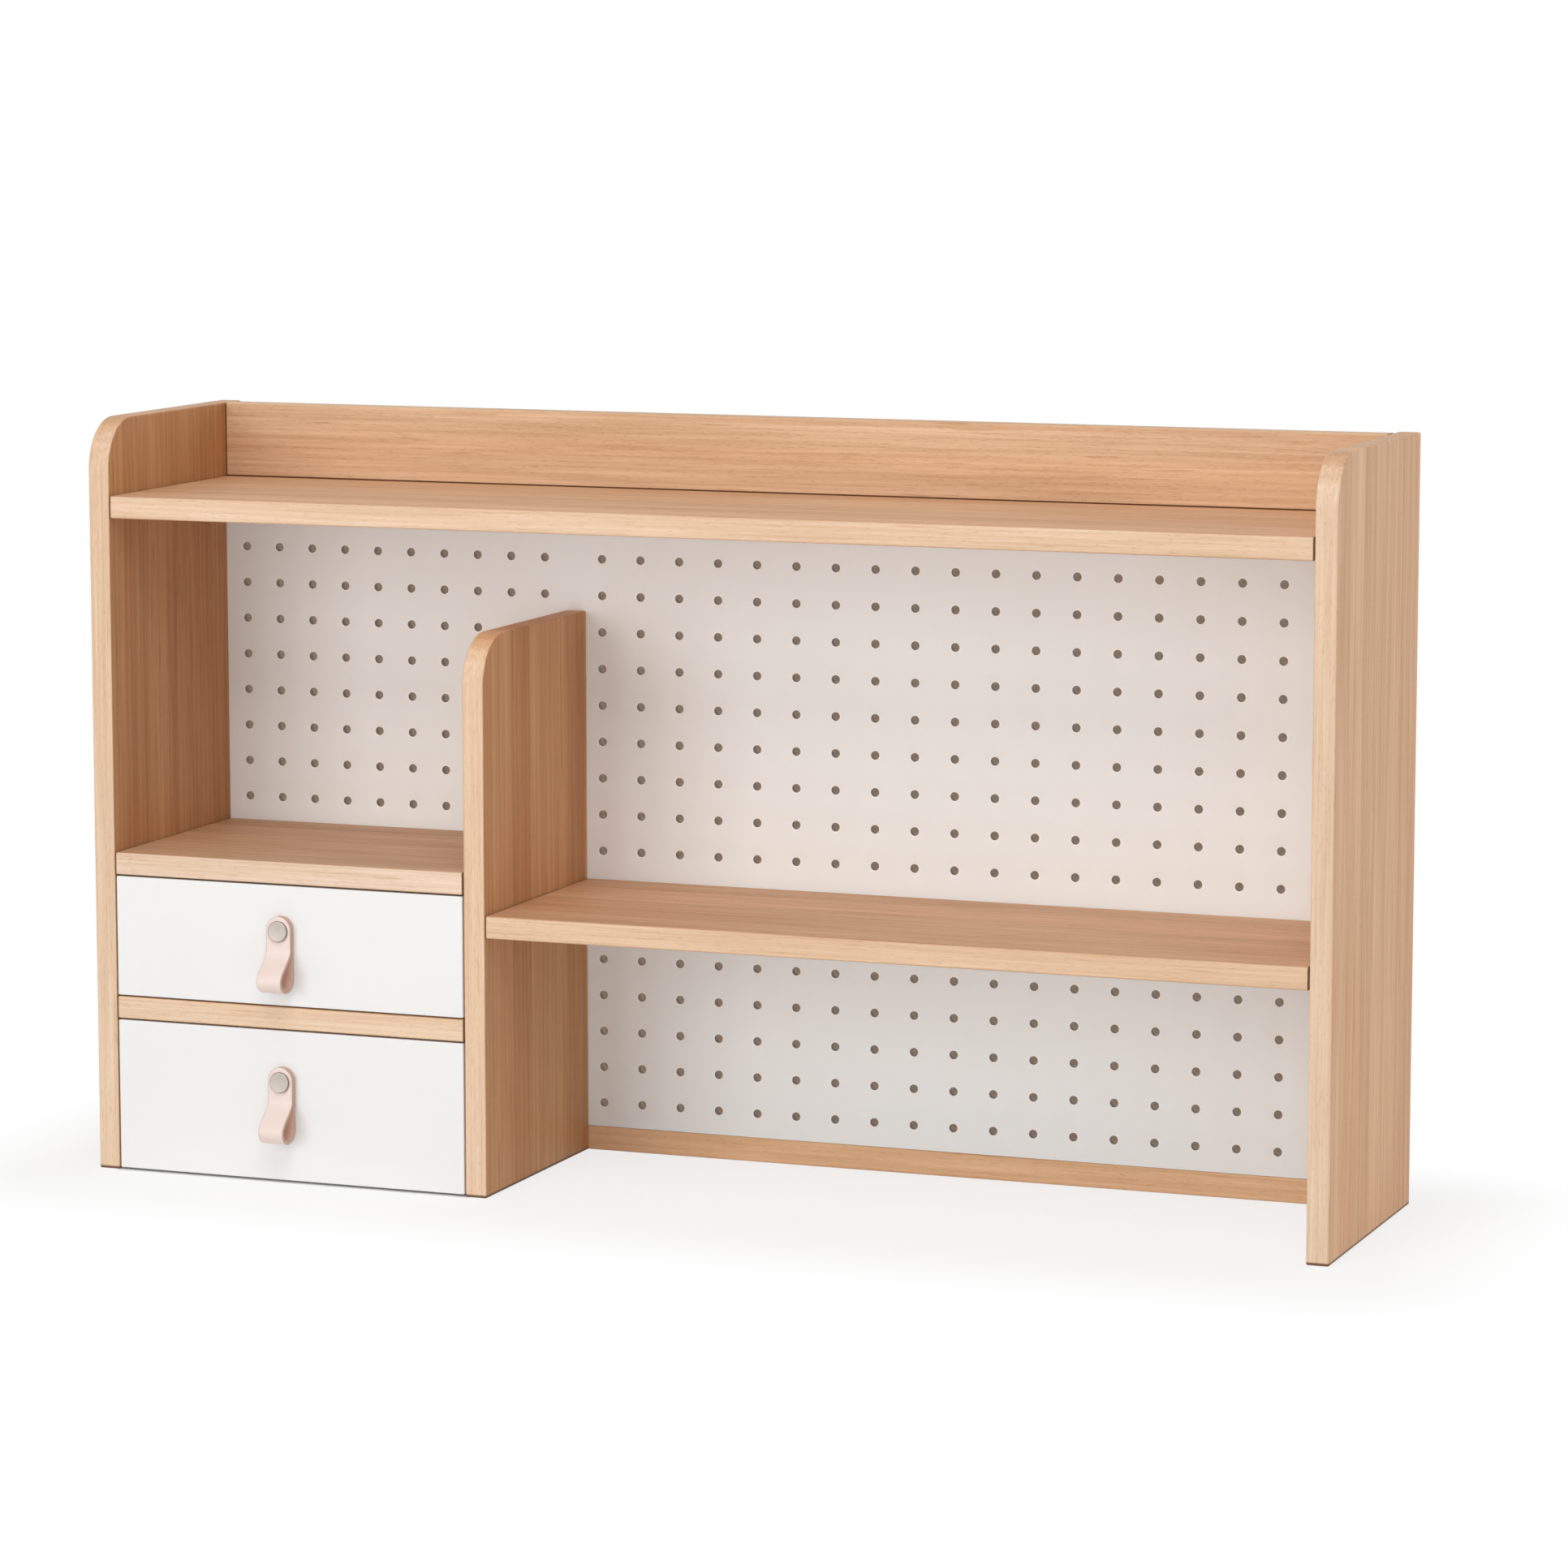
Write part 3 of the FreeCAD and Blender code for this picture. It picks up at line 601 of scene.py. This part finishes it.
HOLE = 0.006
LIP_WIDTH = 0.0012
LIP_DROP = 0.0002
ROW_PITCH = 0.025
COLUMN_PITCH = {"left_peg_field": 0.025, "right_upper_peg_field": 0.0282,
                "right_lower_peg_field": 0.0282}
work = bmesh.new()
for mount in frame["record"]["mounts"]:
    if mount["name"] not in COLUMN_PITCH:
        continue
    pitch = COLUMN_PITCH[mount["name"]]
    span, rise = (mount["dims"][f"spacing_{axis}_mm"] / 1000 for axis in "xy")
    patch = field.make(
        mount["name"], [(0.0, 0.0, 0.0)], Columns=round(span / pitch) + 1,
        Rows=round(rise / ROW_PITCH) + 1, Column_pitch=pitch, Row_pitch=ROW_PITCH, Hole=HOLE,
        Lip_width=LIP_WIDTH, Lip_drop=LIP_DROP, Thickness=back_high.y - back_low.y,
        Centre=mount["pos_m"], Paint=off_white,
    )
    work.from_mesh(patch.data)
    bpy.data.objects.remove(patch)


def skirt(depth):
    """The plain part of one face of the board, round its fields of holes."""
    rim = [edge for edge in work.edges
           if edge.is_boundary and all(abs(v.co.y - depth) < 1e-6 for v in edge.verts)]
    corners = [work.verts.new((x, depth, z))
               for x, z in rectangle(back_low.xz, back_high.xz)]
    sides = [work.edges.new((corners[index - 1], corners[index])) for index in range(4)]
    bmesh.ops.triangle_fill(work, edges=rim + sides, use_beauty=True)
    return corners


skinned(work, [skirt(back_low.y), skirt(back_high.y)])
pegboard = formed(work, "pegboard.drilled", off_white, crease=30)
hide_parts("pegboard")
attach(pegboard, "carcass")

# ---------------------------------------------------------------------------------------------
# Drawer fronts. Two inset fronts of fibreboard in satin white lacquer, with a 1 mm gap all
# round. Sprayed lacquer leaves a very fine orange peel.

lacquer = Finish("white lacquer")
peel = lacquer.noise(lacquer.where, 420.0, 2.0)
drift = lacquer.noise(lacquer.where, 14.0, 2.0)
white_lacquer = lacquer.surface(
    Base_Color=lacquer.between(drift, (0.828, 0.826, 0.816, 1.0), (0.848, 0.846, 0.838, 1.0)),
    Roughness=0.36 + (peel - 0.5) * 0.12, Coat_Weight=0.2, Coat_Roughness=0.25,
    height=peel, depth=0.00003,
)
FRONT_EASE = 0.0008
DRAWERS = ("upper_drawer", "lower_drawer")
for drawer in DRAWERS:
    low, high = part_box(drawer + "_front")
    piece = board(drawer + "_front.lacquered", "Y", low.y, high.y, rectangle(low.xz, high.xz),
                  white_lacquer, FRONT_EASE)
    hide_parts(drawer + "_front")
    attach(piece, drawer)

# ---------------------------------------------------------------------------------------------
# Drawer boxes. Sides and back of pale birch, 10 mm thick, with the grain running lengthwise.
# The sides have a groove for the thin bottom board, which slides in under the back. Two fluted
# dowels join each side to the front.

WALL_STAVE = 0.2
BOTTOM_STAVE = 0.4
side_birch = timber("birch drawer side", "Y", "Z", WALL_STAVE, seed=0.6, **BIRCH)
back_birch = timber("birch drawer back", "X", "Z", WALL_STAVE, seed=5.1, **BIRCH)
thin_board = timber("drawer bottom board", "X", "Y", BOTTOM_STAVE, seed=2.3, **BIRCH)
WALL_EASE = 0.0007
BOTTOM_EASE = 0.0003
BOTTOM_GROOVE = 0.005
GROOVE_PLAY = 0.0001
BOX_DOWEL_LENGTH = 0.020
BOX_DOWEL_IN_FRONT = 0.008
BOX_DOWEL_DROPS = (0.015, 0.045)      # from the top of a side down to its pins
for drawer in DRAWERS:
    low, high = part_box(drawer + "_bottom")
    floor_low, floor_high = low.z - GROOVE_PLAY, high.z + GROOVE_PLAY
    middles = []
    for side, inward in (("left", 1), ("right", -1)):
        node = f"{drawer}_{side}_side"
        low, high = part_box(node)
        inner, outer = (high.x, low.x) if inward > 0 else (low.x, high.x)
        groove = inner - inward * BOTTOM_GROOVE
        outline = [(outer, low.z), (inner, low.z), (inner, floor_low), (groove, floor_low),
                   (groove, floor_high), (inner, floor_high), (inner, high.z),
                   (outer, high.z)]
        piece = board(node + ".birch", "Y", low.y, high.y, outline, side_birch, WALL_EASE)
        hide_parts(node)
        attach(piece, drawer)
        for drop in BOX_DOWEL_DROPS:
            middles.append(((low.x + high.x) / 2,
                            low.y - BOX_DOWEL_IN_FRONT + BOX_DOWEL_LENGTH / 2, high.z - drop))
    low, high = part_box(drawer + "_back")
    piece = board(drawer + "_back.birch", "X", low.x, high.x, rectangle(low.yz, high.yz),
                  back_birch, WALL_EASE)
    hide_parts(drawer + "_back")
    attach(piece, drawer)
    low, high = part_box(drawer + "_bottom")
    piece = board(drawer + "_bottom.board", "X", low.x, high.x, rectangle(low.yz, high.yz),
                  thin_board, BOTTOM_EASE)
    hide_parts(drawer + "_bottom")
    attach(piece, drawer)
    pins = dowels.make(drawer + "_dowels.fluted", middles, Length=BOX_DOWEL_LENGTH,
                       Turn=(math.pi / 2, 0.0, 0.0), **PIN)
    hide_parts(drawer + "_dowels")
    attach(pins, drawer)

# ---------------------------------------------------------------------------------------------
# Leather pulls. One strip of pale pink vegetable-tanned leather for each drawer, folded double
# with the smooth side out and the flesh side inside the loop. Its two round ends are held on
# the front by one bolt, and the cut edges are left raw, in a darker colour that is partly
# painted shade.

hide = Finish("pink leather")
flesh = hide.add("ShaderNodeAttribute", out="Fac", attribute_name="flesh")
cut_edge = hide.add("ShaderNodeAttribute", out="Fac", attribute_name="cut_edge")
pebble = hide.add("ShaderNodeTexVoronoi", {"Vector": hide.where, "Scale": 1500.0},
                  out="Distance", feature="DISTANCE_TO_EDGE")
nap = hide.noise(hide.where, 1900.0, 4.0, 0.7)
blush = hide.noise(hide.where, 70.0, 3.0)
outside = hide.between(blush, (0.83, 0.66, 0.60, 1.0), (0.88, 0.745, 0.69, 1.0))
inside = hide.between(nap, (0.66, 0.40, 0.31, 1.0), (0.80, 0.56, 0.46, 1.0))
# The raw cut edges: their own colour, darkened further by painted shade.
raw_and_shaded = hide.between(nap, (0.52, 0.34, 0.27, 1.0), (0.68, 0.48, 0.40, 1.0))
creases = hide.step(pebble, 0.0, 0.16)
leather = hide.surface(
    Base_Color=hide.between(cut_edge, hide.between(flesh, outside, inside), raw_and_shaded),
    Roughness=0.50 + flesh * 0.3 + cut_edge * 0.2 + (nap - 0.5) * 0.15,
    height=creases * (1 - flesh) * 0.4 + nap * (flesh * 0.8 + cut_edge * 0.6 + 0.15),
    depth=0.00006,
)

STRAP_WIDTH = 0.018
STRAP_THICKNESS = 0.0025
LAYER_GAP = 0.0002
STRAP_REACH = 0.021
STRAP_FLAT = 0.0128           # bolt to where the front layer leaves the back one
LOOP_DROP = 0.0322            # bolt to where the loop is widest
STRAP_DROP = 0.0405           # bolt to the lowest point of the loop
STRAP_END = 0.010             # bolt to the round ends
EDGE_ROUND = 0.0007
TIP_RADIUS = STRAP_WIDTH / 2
BLUNT_TIP = 0.0004            # half the width that is left at the very tip
TIP_STEPS, BACK_STEPS, LOOP_STEPS, LEAN_STEPS, FLAT_STEPS = 12, 14, 32, 24, 5


def strap_line():
    """The middle of the strip from end to end, as points (out from the front, up)."""
    back = STRAP_THICKNESS / 2
    front = STRAP_THICKNESS * 1.5 + LAYER_GAP
    belly = STRAP_REACH - STRAP_THICKNESS / 2
    lowest = STRAP_DROP - STRAP_THICKNESS / 2
    tip = [STRAP_END - TIP_RADIUS * (1 - math.cos(math.pi / 2 * step / TIP_STEPS))
           for step in range(TIP_STEPS + 1)]
    line = [(back, up) for up in tip]
    line += [(back, tip[-1] - (tip[-1] + LOOP_DROP) * step / BACK_STEPS)
             for step in range(1, BACK_STEPS)]
    for step in range(LOOP_STEPS + 1):
        turn = math.pi * step / LOOP_STEPS
        line.append(((back + belly) / 2 - (belly - back) / 2 * math.cos(turn),
                     -LOOP_DROP - (lowest - LOOP_DROP) * math.sin(turn)))
    for step in range(1, LEAN_STEPS + 1):
        rise = step / LEAN_STEPS
        leaning_in = rise * rise * (3 - 2 * rise)
        line.append((belly + (front - belly) * leaning_in,
                     -LOOP_DROP + (LOOP_DROP - STRAP_FLAT) * rise))
    line += [(front, -STRAP_FLAT + (tip[-1] + STRAP_FLAT) * step / FLAT_STEPS)
             for step in range(1, FLAT_STEPS)]
    return line + [(front, up) for up in reversed(tip)]


def strap_section(half_width):
    """The strip's section: a flat bar with slightly rounded edges, as (across, thick)."""
    half_thick = STRAP_THICKNESS / 2
    round_off = min(EDGE_ROUND, half_width * 0.5)
    corners = []
    for sign_x, sign_y, start in ((1, 1, 0), (-1, 1, 90), (-1, -1, 180), (1, -1, 270)):
        for step in range(4):
            turn = math.radians(start + 30 * step)
            corners.append((
                sign_x * (half_width - round_off) + round_off * math.cos(turn),
                sign_y * (half_thick - round_off) + round_off * math.sin(turn),
            ))
    return corners


def pull_strap(name, x, y, z):
    """A folded strip whose bolt goes through it at x and z, on a front whose face is at y."""
    line = strap_line()
    work = bmesh.new()
    inner_layer = work.verts.layers.float.new("flesh")
    edge_layer = work.verts.layers.float.new("cut_edge")
    rings = []
    for index, (out, up) in enumerate(line):
        before, after = line[max(index - 1, 0)], line[min(index + 1, len(line) - 1)]
        ahead = Vector((after[0] - before[0], after[1] - before[1])).normalized()
        inward = Vector((-ahead.y, ahead.x))
        from_round = max(up - (STRAP_END - TIP_RADIUS), 0.0)
        half_width = math.sqrt(max(TIP_RADIUS ** 2 - from_round ** 2, BLUNT_TIP ** 2))
        ring = []
        for across, thick in strap_section(half_width):
            spot = Vector((out, up)) + inward * thick
            corner = work.verts.new((x + across, y - spot.x, z + spot.y))
            corner[inner_layer] = 1.0 if thick > 0 else 0.0
            corner[edge_layer] = 1.0 if abs(across) > half_width - EDGE_ROUND * 0.6 else 0.0
            ring.append(corner)
        rings.append(ring)
    skinned(work, rings)
    work.faces.new(rings[0])
    work.faces.new(rings[-1])
    return formed(work, name, leather, crease=50)


for drawer in DRAWERS:
    low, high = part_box(drawer + "_strap")
    piece = pull_strap(drawer + "_strap.leather", (low.x + high.x) / 2, high.y,
                       high.z - STRAP_END)
    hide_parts(drawer + "_strap")
    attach(piece, drawer)

# ---------------------------------------------------------------------------------------------
# Pull bolts. One turned steel bolt for each pull, satin nickel plated. Its flat button has a
# narrow raised rim and clamps both layers of the strap. The shank passes through the front.

nickel = Finish("satin nickel")
grit = nickel.noise(nickel.where, 2600.0, 3.0)
smear = nickel.noise(nickel.where, 240.0, 2.0)
plate = nickel.between(smear, (0.46, 0.41, 0.375, 1.0), (0.53, 0.48, 0.44, 1.0))
# Painted shade: the button's sides are darker than its face.
flank_shade = 1 - nickel.step(nickel.facing()[1].maths("ABSOLUTE"), 0.55, 0.95)
satin_nickel = nickel.surface(
    Base_Color=nickel.between(flank_shade, plate, (0.27, 0.225, 0.19, 1.0)),
    Metallic=0.85, Roughness=0.5 + (grit - 0.5) * 0.2 + (smear - 0.5) * 0.1,
    height=grit, depth=0.00001,
)
TURNING_STEPS = 64


def turned(name, profile, x, y, z, metal):
    """A piece turned on a lathe: (radius, distance along +Y from y) round a level axis."""
    work = bmesh.new()
    rings = []
    for radius, along in profile:
        turns = [2 * math.pi * step / TURNING_STEPS for step in range(TURNING_STEPS)]
        rings.append([work.verts.new((x + radius * math.cos(turn), y + along,
                                      z + radius * math.sin(turn))) for turn in turns])
    skinned(work, rings)
    work.faces.new(rings[0])
    work.faces.new(rings[-1])
    return formed(work, name, metal, crease=35)


# The button from its flat face over the raised rim to its back, as (radius, distance back).
BUTTON = [(0.0058, 0.00008), (0.0060, 0.00005), (0.0061, 0.0), (0.0064, 0.00004),
          (0.0068, 0.00025), (0.0070, 0.0006), (0.0070, 0.0016), (0.0068, 0.0019),
          (0.0065, 0.002)]
SHANK_RADIUS = 0.002
SHANK_CHAMFER = 0.0003
for drawer in DRAWERS:
    low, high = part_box(drawer + "_pull_bolt")
    length = high.y - low.y
    shank = [(SHANK_RADIUS, BUTTON[-1][1]), (SHANK_RADIUS, length - SHANK_CHAMFER),
             (SHANK_RADIUS - SHANK_CHAMFER, length)]
    piece = turned(drawer + "_pull_bolt.nickel", BUTTON + shank, (low.x + high.x) / 2, low.y,
                   (low.z + high.z) / 2, satin_nickel)
    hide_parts(drawer + "_pull_bolt")
    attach(piece, drawer)

# ---------------------------------------------------------------------------------------------
# Pull nuts. A zinc-plated hexagon nut behind each front, with the corners of both faces
# chamfered round.

plating = Finish("zinc plate")
spangle = plating.add("ShaderNodeTexVoronoi", {"Vector": plating.where, "Scale": 900.0},
                      out="Color")
bright = plating.split(spangle)[0]
zinc = plating.surface(
    Base_Color=plating.between(bright, (0.58, 0.60, 0.61, 1.0), (0.72, 0.73, 0.73, 1.0)),
    Metallic=1.0, Roughness=0.38 + bright * 0.14, height=bright, depth=0.00001,
)
NUT_STEPS = 36
CHAMFER_SLOPE = math.tan(math.radians(30))
CHAMFER_ROUND = 0.985         # radius of the round face, as a share of half the width
THREAD_PLAY = 0.0001
BORE = SHANK_RADIUS + THREAD_PLAY
for drawer in DRAWERS:
    node = drawer + "_pull_nut"
    low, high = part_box(node)
    middle_x, middle_z = (low.x + high.x) / 2, (low.z + high.z) / 2
    half_wide, half_tall = (high.x - low.x) / 2, (high.z - low.z) / 2
    flat = min(half_wide, half_tall)
    first_flat = 0.0 if half_wide < half_tall else 30.0
    work = bmesh.new()
    rings = [[] for _ in range(6)]
    for step in range(NUT_STEPS):
        turn = 2 * math.pi * step / NUT_STEPS
        off_flat = (math.degrees(turn) - first_flat + 30.0) % 60.0 - 30.0
        reach = flat / math.cos(math.radians(off_flat))
        round_reach = flat * CHAMFER_ROUND
        drop = (reach - round_reach) * CHAMFER_SLOPE
        for ring, (radius, along) in zip(rings, (
            (BORE, low.y), (round_reach, low.y), (reach, low.y + drop),
            (reach, high.y - drop), (round_reach, high.y), (BORE, high.y),
        )):
            ring.append(work.verts.new((middle_x + radius * math.cos(turn), along,
                                        middle_z + radius * math.sin(turn))))
    skinned(work, rings + rings[:1])
    piece = formed(work, node + ".zinc", zinc, crease=25)
    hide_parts(node)
    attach(piece, drawer)

# ---------------------------------------------------------------------------------------------
# Studio. A white floor that keeps the soft shadow, and soft light from the front left under a
# bright overcast ceiling. A grey-brown card close behind the perforated back shows through its
# holes, as the shade in front of a wall does.


def plane(name, corners, material):
    mesh = bpy.data.meshes.new(name)
    mesh.from_pydata(corners, [], [range(4)])
    mesh.materials.append(material)
    piece = bpy.data.objects.new(name, mesh)
    bpy.context.collection.objects.link(piece)
    piece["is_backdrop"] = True


def seen(nodes):
    """1 for what the camera sees, straight or in a reflection."""
    camera_ray = nodes.add("ShaderNodeLightPath", out="Is Camera Ray")
    return camera_ray.maths("MAXIMUM", camera_ray.other("Is Glossy Ray")).maths(
        "MAXIMUM", camera_ray.other("Is Transmission Ray"))


FLOOR_SIZE = 12.0
BAY_EDGE = 0.004              # over which the dark floor under the drawers ends
SHADE_REACH = 0.14            # from the organizer out to where the floor is all white
NEAR_WHITE = 0.75             # how much of the white is there close to the organizer
ground = Finish("studio floor")
foot_low, foot_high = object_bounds()
bay_low, bay_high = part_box("lower_drawer_front")[0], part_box("drawer_bay_floor")[1]


def clear_of(low, high):
    """Distance on the floor from a rectangle, and 0 on it."""
    gap_x = (ground.x - high.x).maths("MAXIMUM", low.x - ground.x).maths("MAXIMUM", 0.0)
    gap_y = (ground.y - high.y).maths("MAXIMUM", low.y - ground.y).maths("MAXIMUM", 0.0)
    return (gap_x * gap_x + gap_y * gap_y).maths("SQRT")


out_of_bay = ground.step(clear_of(bay_low, bay_high), 0.0, BAY_EDGE)
far_out = ground.step(clear_of(foot_low, foot_high), 0.0, SHADE_REACH)
white = out_of_bay * NEAR_WHITE + far_out * (1 - NEAR_WHITE)
ground.add("ShaderNodeOutputMaterial", {"Surface": ground.add("ShaderNodeMixShader", {
    0: white * seen(ground),
    1: ground.add("ShaderNodeBsdfDiffuse", {"Color": (0.90, 0.90, 0.895, 1.0)}),
    2: ground.add("ShaderNodeEmission", {"Color": (1.0, 1.0, 1.0, 1.0), "Strength": 1.0}),
})})
side = FLOOR_SIZE / 2
plane("floor", [(-side, -side, 0.0), (side, -side, 0.0), (side, side, 0.0), (-side, side, 0.0)],
      ground.material)

CARD_GAP = 0.0015
shade = Finish("shade card")
behind = shade.add("ShaderNodeNewGeometry", out="Backfacing")
unseen = 1 - shade.add("ShaderNodeLightPath", out="Is Camera Ray")
shade.add("ShaderNodeOutputMaterial", {"Surface": shade.add("ShaderNodeMixShader", {
    0: behind.maths("MAXIMUM", unseen),
    1: shade.add("ShaderNodeBsdfDiffuse", {"Color": (0.49, 0.375, 0.28, 1.0)}),
    2: shade.add("ShaderNodeBsdfTransparent"),
})})
card_y = back_high.y + CARD_GAP
card_low, card_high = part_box("bottom_back_rail")[1].z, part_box("top_shelf")[0].z
inner_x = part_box("top_shelf")[1].x
plane("shade_card", [(-inner_x, card_y, card_low), (inner_x, card_y, card_low),
                     (inner_x, card_y, card_high), (-inner_x, card_y, card_high)],
      shade.material)

world = bpy.data.worlds.new("overcast")
world.use_nodes = True
world.node_tree.nodes.clear()
sky = Nodes(world.node_tree)
SKY_LIGHT = 0.42
sky.add("ShaderNodeOutputWorld", {"Surface": sky.add("ShaderNodeBackground", {
    "Color": (1.0, 1.0, 1.0, 1.0), "Strength": SKY_LIGHT + seen(sky) * (1 - SKY_LIGHT)})})
bpy.context.scene.world = world


def softbox(name, spot, aim, size, power, colour):
    """A rectangular lamp, as wide and high as its size, that faces the point aim."""
    lamp = bpy.data.lights.new(name, "AREA")
    lamp.shape = "RECTANGLE"
    lamp.size, lamp.size_y = size
    lamp.energy, lamp.color = power, colour
    piece = bpy.data.objects.new(name, lamp)
    bpy.context.collection.objects.link(piece)
    piece.location = spot
    piece.rotation_euler = (Vector(aim) - Vector(spot)).to_track_quat("-Z", "Y").to_euler()


softbox("key", spot=(-1.38, -3.3, 1.0), aim=(0.0, 0.0, 0.25), size=(1.8, 1.9), power=32.3,
        colour=(1.0, 0.98, 0.955))
softbox("low", spot=(0.7, -3.3, 0.3), aim=(0.1, 0.0, 0.25), size=(1.6, 0.5), power=12.5,
        colour=(0.92, 0.97, 1.0))
softbox("side", spot=(2.3, 1.5, 0.8), aim=(0.43, 0.0, 0.25), size=(1.2, 1.2), power=12.0,
        colour=(1.0, 0.98, 0.96))
softbox("top", spot=(0.3, -1.5, 2.2), aim=(0.1, 0.0, 0.3), size=(1.6, 1.2), power=21.5,
        colour=(1.0, 0.99, 0.98))

bpy.context.scene.view_settings.view_transform = "Standard"

low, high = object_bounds()
